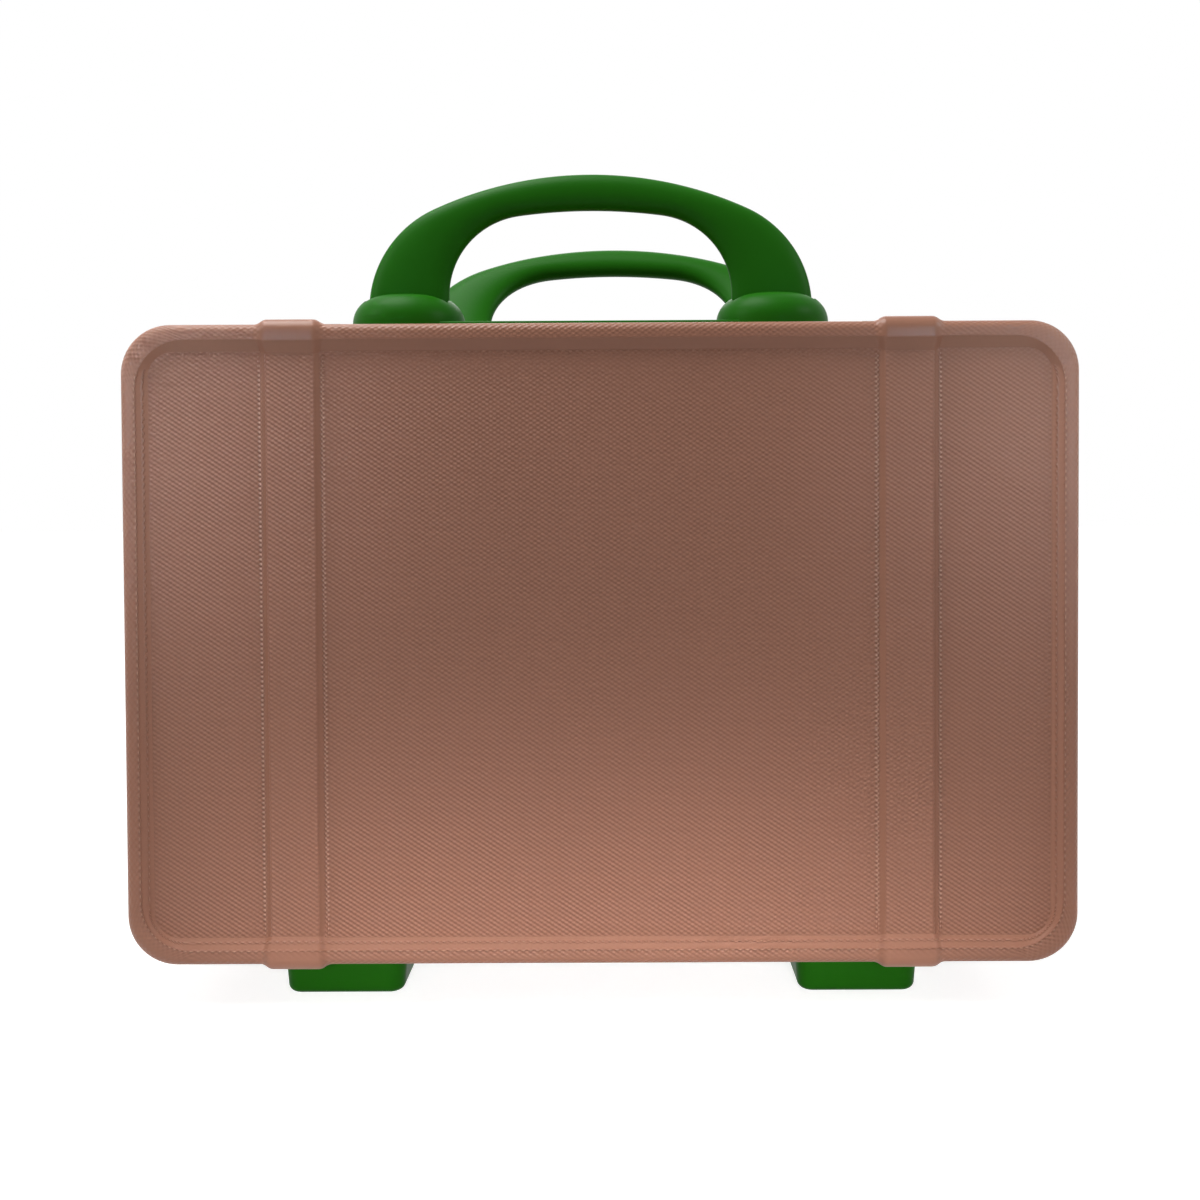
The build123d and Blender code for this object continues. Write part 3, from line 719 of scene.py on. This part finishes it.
class ToyScrews(bpy.types.Operator):
    """Make the screws of the handle bases, feet, hinges and latches"""

    bl_idname = "toy_case.screws"
    bl_label = "Screws"

    def execute(self, context):
        sizes = context.scene.toy_screw
        groups = screw_groups(sizes, context.scene.toy_shell)
        for half in HALVES:
            for name, (places, upwards, shank) in groups.items():
                turned = half_turn(np.array(places), half)
                make_piece(
                    f"{half}_{name}",
                    screw_patches(turned, upwards, shank, sizes),
                    CASE_BODIES[half],
                    bright_steel(context.scene.toy_finish),
                )
        return {"FINISHED"}


# Shader groups


def new_group(name, inputs, outputs):
    """Empty node group with named sockets, and its input and output nodes."""
    group = bpy.data.node_groups.new(name, "ShaderNodeTree")
    for label, kind, default in inputs:
        socket = group.interface.new_socket(label, in_out="INPUT", socket_type=kind)
        if default is not None:
            socket.default_value = default
    for label, kind in outputs:
        group.interface.new_socket(label, in_out="OUTPUT", socket_type=kind)
    return group, group.nodes.new("NodeGroupInput"), group.nodes.new("NodeGroupOutput")


def feed(tree, socket, value):
    """Link an input to another node's output, or set it to a value."""
    if isinstance(value, bpy.types.NodeSocket):
        tree.links.new(value, socket)
    else:
        socket.default_value = value


def math_node(tree, operation, *values):
    """Math node on sockets or plain numbers; returns its result."""
    node = tree.nodes.new("ShaderNodeMath")
    node.operation = operation
    for socket, value in zip(node.inputs, values):
        feed(tree, socket, value)
    return node.outputs[0]


def mix_node(tree, first, second, factor, blend="MIX"):
    """Mix node on two colours; returns its result."""
    node = tree.nodes.new("ShaderNodeMix")
    node.data_type = "RGBA"
    node.blend_type = blend
    for name, value in (("A", first), ("B", second), ("Factor", factor)):
        feed(tree, node.inputs[name], value)
    return node.outputs["Result"]


def noise_node(tree, vector, scale, detail=2.0):
    """Noise texture over a vector; returns its value."""
    node = tree.nodes.new("ShaderNodeTexNoise")
    for name, value in (("Vector", vector), ("Scale", scale), ("Detail", detail)):
        feed(tree, node.inputs[name], value)
    return node.outputs["Fac"]


def seen_directly(tree):
    """1 for rays of the camera and of shiny or clear surfaces, 0 for the rest."""
    path = tree.nodes.new("ShaderNodeLightPath")
    seen = math_node(tree, "MAXIMUM", path.outputs["Is Camera Ray"], path.outputs["Is Glossy Ray"])
    return math_node(tree, "MAXIMUM", seen, path.outputs["Is Transmission Ray"])


def grain_group():
    """Diamond grain of a mould: crossing ridges (1 + cos s) / 4 + (1 + cos t) / 4, times the amount."""
    found = bpy.data.node_groups.get("moulded_grain")
    if found:
        return found
    group, given, result = new_group(
        "moulded_grain",
        [
            ("Vector", "NodeSocketVector", None),
            ("Width", "NodeSocketFloat", 0.002),
            ("Height", "NodeSocketFloat", 0.001),
            ("Amount", "NodeSocketFloat", 1.0),
        ],
        [("Ridge", "NodeSocketFloat")],
    )
    split = group.nodes.new("ShaderNodeSeparateXYZ")
    group.links.new(given.outputs["Vector"], split.inputs[0])
    across = math_node(group, "DIVIDE", split.outputs["X"], given.outputs["Width"])
    upward = math_node(group, "DIVIDE", split.outputs["Y"], given.outputs["Height"])
    waves = []
    for way in ("ADD", "SUBTRACT"):
        phase = math_node(group, "MULTIPLY", math_node(group, way, across, upward), tau)
        waves.append(math_node(group, "MULTIPLY_ADD", math_node(group, "COSINE", phase), 0.25, 0.25))
    ridge = math_node(group, "ADD", *waves)
    group.links.new(math_node(group, "MULTIPLY", ridge, given.outputs["Amount"]), result.inputs["Ridge"])
    return group


def tone_group():
    """Uneven tone of moulded plastic: a soft cloud and fine specks that lighten or darken a colour."""
    found = bpy.data.node_groups.get("moulded_tone")
    if found:
        return found
    group, given, result = new_group(
        "moulded_tone",
        [
            ("Vector", "NodeSocketVector", None),
            ("Color", "NodeSocketColor", (0.5, 0.5, 0.5, 1)),
            ("Amount", "NodeSocketFloat", 0.05),
            ("Roughness", "NodeSocketFloat", 0.4),
        ],
        [("Color", "NodeSocketColor"), ("Roughness", "NodeSocketFloat"), ("Cloud", "NodeSocketFloat")],
    )
    cloud_scale, speck_scale, cloud_share = 9.0, 900.0, 0.75
    specks = noise_node(group, given.outputs["Vector"], speck_scale, 1.0)
    specks = math_node(group, "MULTIPLY", specks, 1 - cloud_share)
    cloud = noise_node(group, given.outputs["Vector"], cloud_scale)
    cloud = math_node(group, "MULTIPLY_ADD", cloud, cloud_share, specks)
    shift = math_node(group, "MULTIPLY", math_node(group, "SUBTRACT", cloud, 0.5), given.outputs["Amount"])
    grey = group.nodes.new("ShaderNodeCombineColor")
    level = math_node(group, "MULTIPLY_ADD", shift, 2.0, 1.0)
    for channel in grey.inputs:
        group.links.new(level, channel)
    tone = mix_node(group, given.outputs["Color"], grey.outputs[0], 1.0, "MULTIPLY")
    group.links.new(tone, result.inputs["Color"])
    rough = math_node(group, "ADD", given.outputs["Roughness"], shift)
    group.links.new(rough, result.inputs["Roughness"])
    group.links.new(cloud, result.inputs["Cloud"])
    return group


def place_group(material, group, values):
    """Group node in a material, with its inputs linked or set."""
    node = material.node_tree.nodes.new("ShaderNodeGroup")
    node.node_tree = group
    for name, value in values.items():
        feed(material.node_tree, node.inputs[name], value)
    return node


def new_finish(name):
    """New material and its Principled shader."""
    material = bpy.data.materials.new(name)
    material.use_nodes = True
    return material, material.node_tree.nodes["Principled BSDF"]


def coordinates(material, output):
    """Output of the material's Texture Coordinate node."""
    return material.node_tree.nodes.new("ShaderNodeTexCoord").outputs[output]


def add_bump(material, shader, height, distance, strength=1.0):
    """Feed the shader's normal from a height by a Bump node."""
    bump = material.node_tree.nodes.new("ShaderNodeBump")
    bump.inputs["Distance"].default_value = distance
    bump.inputs["Strength"].default_value = strength
    material.node_tree.links.new(height, bump.inputs["Height"])
    material.node_tree.links.new(bump.outputs["Normal"], shader.inputs["Normal"])


def uneven_tone(material, shader, tone, amount, shine):
    """Give the shader a tone that varies by an amount, plastic's roughness and a shine; returns the cloud."""
    tree = material.node_tree
    values = {"Vector": coordinates(material, "Object"), "Color": tone, "Amount": amount, "Roughness": 0.40}
    varied = place_group(material, tone_group(), values)
    tree.links.new(varied.outputs["Color"], shader.inputs["Base Color"])
    tree.links.new(varied.outputs["Roughness"], shader.inputs["Roughness"])
    shader.inputs["Specular IOR Level"].default_value = shine
    return varied.outputs["Cloud"]


def shell_plastic(finish):
    """Rose brown plastic with a fine diamond grain where the shell's grain attribute says so.

    Painted shade darkens the grain's hollows and the places that the shade attribute marks, and a painted
    highlight pales the tops of the ridges.
    """
    hollow_shade_share, highlight_from = 0.45, 0.9
    found = bpy.data.materials.get("shell_plastic_grain")
    if found:
        return found
    material, shader = new_finish("shell_plastic_grain")
    tree = material.node_tree
    shown = tree.nodes.new("ShaderNodeAttribute")
    shown.attribute_name = "grain"
    grain = place_group(
        material,
        grain_group(),
        {
            "Vector": coordinates(material, "UV"),
            "Width": finish.grain_width,
            "Height": finish.grain_height,
            "Amount": shown.outputs["Fac"],
        },
    )
    shade_attribute = tree.nodes.new("ShaderNodeAttribute")
    shade_attribute.attribute_name = "painted_shade"
    # Painted shade in the grain's hollows and where the shade attribute marks.
    hollow = math_node(tree, "SUBTRACT", 1.0, grain.outputs["Ridge"])
    hollow = math_node(tree, "MULTIPLY", hollow, hollow_shade_share)
    hollow = math_node(tree, "MULTIPLY", hollow, shown.outputs["Fac"])
    deeper = math_node(tree, "MAXIMUM", hollow, shade_attribute.outputs["Fac"])
    base = mix_node(tree, (*finish.shell, 1), (*finish.smooth, 1), deeper)
    # Painted highlight on the tops of the grain's ridges.
    ridge_highlight = math_node(tree, "SUBTRACT", grain.outputs["Ridge"], highlight_from)
    tone = mix_node(tree, base, (*finish.tip, 1), ridge_highlight)
    uneven_tone(material, shader, tone, amount=0.10, shine=0.35)
    add_bump(material, shader, grain.outputs["Ridge"], finish.grain_depth)
    return material


def green_plastic(finish):
    """Leaf green plastic with a dull sheen and a faint unevenness."""
    found = bpy.data.materials.get("green_plastic_gloss")
    if found:
        return found
    material, shader = new_finish("green_plastic_gloss")
    cloud = uneven_tone(material, shader, (*finish.green, 1), amount=0.08, shine=0.06)
    add_bump(material, shader, cloud, distance=0.00005, strength=0.5)
    return material


def bright_steel(finish):
    """Plated steel with fine drawn lines."""
    found = bpy.data.materials.get("bright_steel")
    if found:
        return found
    material, shader = new_finish("bright_steel")
    tree = material.node_tree
    least_rough, rough_range = 0.18, 0.22
    stretch = tree.nodes.new("ShaderNodeMapping")
    stretch.inputs["Scale"].default_value = (60, 4000, 4000)
    tree.links.new(coordinates(material, "Object"), stretch.inputs["Vector"])
    lines = noise_node(tree, stretch.outputs["Vector"], 1.0)
    shader.inputs["Base Color"].default_value = (*finish.steel, 1)
    shader.inputs["Metallic"].default_value = 1.0
    rough = math_node(tree, "MULTIPLY_ADD", lines, rough_range, least_rough)
    tree.links.new(rough, shader.inputs["Roughness"])
    add_bump(material, shader, lines, distance=0.00002, strength=0.4)
    return material


def mirror_sheet(finish):
    """Silvered plastic sheet with a faint haze."""
    found = bpy.data.materials.get("mirror_silver")
    if found:
        return found
    material, shader = new_finish("mirror_silver")
    tree = material.node_tree
    most_rough = 0.05
    haze = noise_node(tree, coordinates(material, "Object"), 30.0)
    shader.inputs["Base Color"].default_value = (*finish.mirror, 1)
    shader.inputs["Metallic"].default_value = 1.0
    rough = math_node(tree, "MULTIPLY_ADD", haze, most_rough, 0.0)
    tree.links.new(rough, shader.inputs["Roughness"])
    return material


class ToyFittings(bpy.types.Operator):
    """Give the carried-over fittings their finishes"""

    bl_idname = "toy_case.fittings"
    bl_label = "Fittings"

    def execute(self, context):
        finish = context.scene.toy_finish
        finishes = {
            "green_plastic": green_plastic(finish),
            "steel": bright_steel(finish),
            "mirror_sheet": mirror_sheet(finish),
            "shell_plastic": shell_plastic(finish),
        }
        for row in frame["record"]["subparts"]:
            node = frame["nodes"][row["node"]]
            node.data.materials.clear()
            node.data.materials.append(finishes[row["material_slot"]])
        return {"FINISHED"}


# Stage


def floor_material(pale):
    """Pale floor that the camera and shiny surfaces see as nearly white, and as white further out.

    The added glow rises with the distance from the object, so its shadow stays and the horizon doesn't show.
    """
    material, shader = new_finish("pale_floor")
    tree = material.node_tree
    reach = tree.nodes.new("ShaderNodeVectorMath")
    reach.operation = "LENGTH"
    tree.links.new(coordinates(material, "Object"), reach.inputs[0])
    far = tree.nodes.new("ShaderNodeMapRange")
    far.interpolation_type = "SMOOTHSTEP"
    far.inputs["From Min"].default_value = 0.25
    far.inputs["From Max"].default_value = 1.6
    far.inputs["To Min"].default_value = 0.84
    far.inputs["To Max"].default_value = 1.0
    tree.links.new(reach.outputs["Value"], far.inputs["Value"])
    shader.inputs["Base Color"].default_value = (*pale, 1)
    shader.inputs["Roughness"].default_value = 0.9
    shader.inputs["Specular IOR Level"].default_value = 0.0
    shader.inputs["Emission Color"].default_value = (1, 1, 1, 1)
    glow = math_node(tree, "MULTIPLY", seen_directly(tree), far.outputs["Result"])
    tree.links.new(glow, shader.inputs["Emission Strength"])
    return material


def floor_plane(pale):
    """Wide floor just under the feet, with the finish of the colour given."""
    reach, drop = 6.0, 0.0002
    mesh = bpy.data.meshes.new("floor")
    corners = [(-reach, -reach, 0), (reach, -reach, 0), (reach, reach, 0), (-reach, reach, 0)]
    mesh.from_pydata(corners, [], [(0, 1, 2, 3)])
    mesh.materials.append(floor_material(pale))
    floor = bpy.data.objects.new("floor", mesh)
    floor.location.z = -drop
    bpy.context.scene.collection.objects.link(floor)


def soft_lamp(name, place, target, size, power, spread=180.0, tint=(1, 1, 1)):
    """Rectangular lamp that faces a point; its spread is its beam's full angle in degrees."""
    data = bpy.data.lights.new(name, "AREA")
    data.shape = "RECTANGLE"
    data.size, data.size_y = size
    data.energy = power
    data.color = tint
    data.spread = radians(spread)
    lamp = bpy.data.objects.new(name, data)
    way = Vector(target) - Vector(place)
    lamp.matrix_world = Matrix.Translation(place) @ way.to_track_quat("-Z", "Y").to_matrix().to_4x4()
    lamp.visible_camera = False
    bpy.context.scene.collection.objects.link(lamp)


def soft_lamps():
    """Lamps overhead, at both sides and behind, and narrow ones on the panel's top corners and lower part."""
    soft_lamp("overhead_lamp", place=(-0.30, -0.10, 1.05), target=(0, 0, 0.2), size=(0.7, 0.5), power=9.4)
    for name, side, power in (("left_lamp", -1, 2.0), ("right_lamp", 1, 2.3)):
        soft_lamp(name, place=(side * 0.85, -0.30, 0.70), target=(0, 0, 0.12), size=(0.3, 0.3), power=power)
    for name, side in SIDES.items():
        place, corner = (side * 0.35, -0.9, 0.30), (side * 0.175, -0.07, 0.20)
        cool = (0.52, 0.78, 1.0)
        soft_lamp(f"{name}_corner_lamp", place, corner, size=(0.1, 0.1), power=0.032, spread=13, tint=cool)
    soft_lamp(
        "low_front_lamp", place=(0, -0.9, 0.22), target=(0, 0, -0.09), size=(0.26, 0.2), power=0.15, spread=14
    )
    soft_lamp("rear_lamp", place=(0, 1.1, 0.8), target=(0, 0.07, 0.1), size=(0.8, 0.5), power=2.5)


def photo_camera(stage):
    """Camera at the photograph's angle: forward by yaw and pitch, then the picture turned by roll."""
    forward = Matrix.Rotation(stage.yaw, 3, "Z") @ Vector((0, cos(stage.pitch), sin(stage.pitch)))
    level = Matrix.Rotation(stage.yaw, 3, "Z") @ Vector((1, 0, 0))
    upright = level.cross(forward)
    right = cos(stage.roll) * level + sin(stage.roll) * upright
    up = cos(stage.roll) * upright - sin(stage.roll) * level
    data = bpy.data.cameras.new("photo_camera")
    data.lens = stage.lens
    data.clip_start = 0.01
    data.shift_x = stage.shift_x
    data.shift_y = stage.shift_y
    camera = bpy.data.objects.new("photo_camera", data)
    turn = Matrix((right, up, -forward)).transposed().to_4x4()
    camera.matrix_world = Matrix.Translation(stage.camera_place) @ turn
    bpy.context.scene.collection.objects.link(camera)
    bpy.context.scene.camera = camera


def pale_room(strength):
    """World that lights plainly and that the camera and shiny surfaces see as white."""
    world = bpy.data.worlds.new("pale_room")
    world.use_nodes = True
    tree = world.node_tree
    background = tree.nodes["Background"]
    background.inputs["Color"].default_value = (1, 1, 1, 1)
    share = math_node(tree, "MULTIPLY_ADD", seen_directly(tree), 1 - strength, strength)
    tree.links.new(share, background.inputs["Strength"])
    bpy.context.scene.world = world


class ToyStage(bpy.types.Operator):
    """Make the floor, lamps, room and camera"""

    bl_idname = "toy_case.stage"
    bl_label = "Stage"

    def execute(self, context):
        stage = context.scene.toy_stage
        floor_plane(stage.floor)
        soft_lamps()
        pale_room(stage.world_strength)
        photo_camera(stage)
        context.scene.view_settings.view_transform = "Standard"
        return {"FINISHED"}


OPERATORS = (ToyShells, ToyHandles, ToyScrews, ToyFittings, ToyStage)


class ToyCasePanel(bpy.types.Panel):
    """Sizes, finishes and makers of the toy beauty case"""

    bl_idname = "VIEW3D_PT_toy_case"
    bl_label = "Toy Beauty Case"
    bl_space_type = "VIEW_3D"
    bl_region_type = "UI"
    bl_category = "Toy Case"

    def draw(self, context):
        for operator in OPERATORS:
            self.layout.operator(operator.bl_idname)
        for name, group in SETTINGS.items():
            box = self.layout.box()
            box.label(text=group.__doc__)
            for size in group.__annotations__:
                box.prop(getattr(context.scene, name), size)


def register():
    for owner in (*SETTINGS.values(), *OPERATORS, ToyCasePanel):
        bpy.utils.register_class(owner)
    for name, group in SETTINGS.items():
        setattr(bpy.types.Scene, name, PointerProperty(type=group))


def unregister():
    for name in SETTINGS:
        delattr(bpy.types.Scene, name)
    for owner in reversed((*SETTINGS.values(), *OPERATORS, ToyCasePanel)):
        bpy.utils.unregister_class(owner)


def main():
    """Make every piece and the stage."""
    register()
    for operator in OPERATORS:
        space, name = operator.bl_idname.split(".")
        getattr(getattr(bpy.ops, space), name)()


if __name__ == "__main__":
    main()
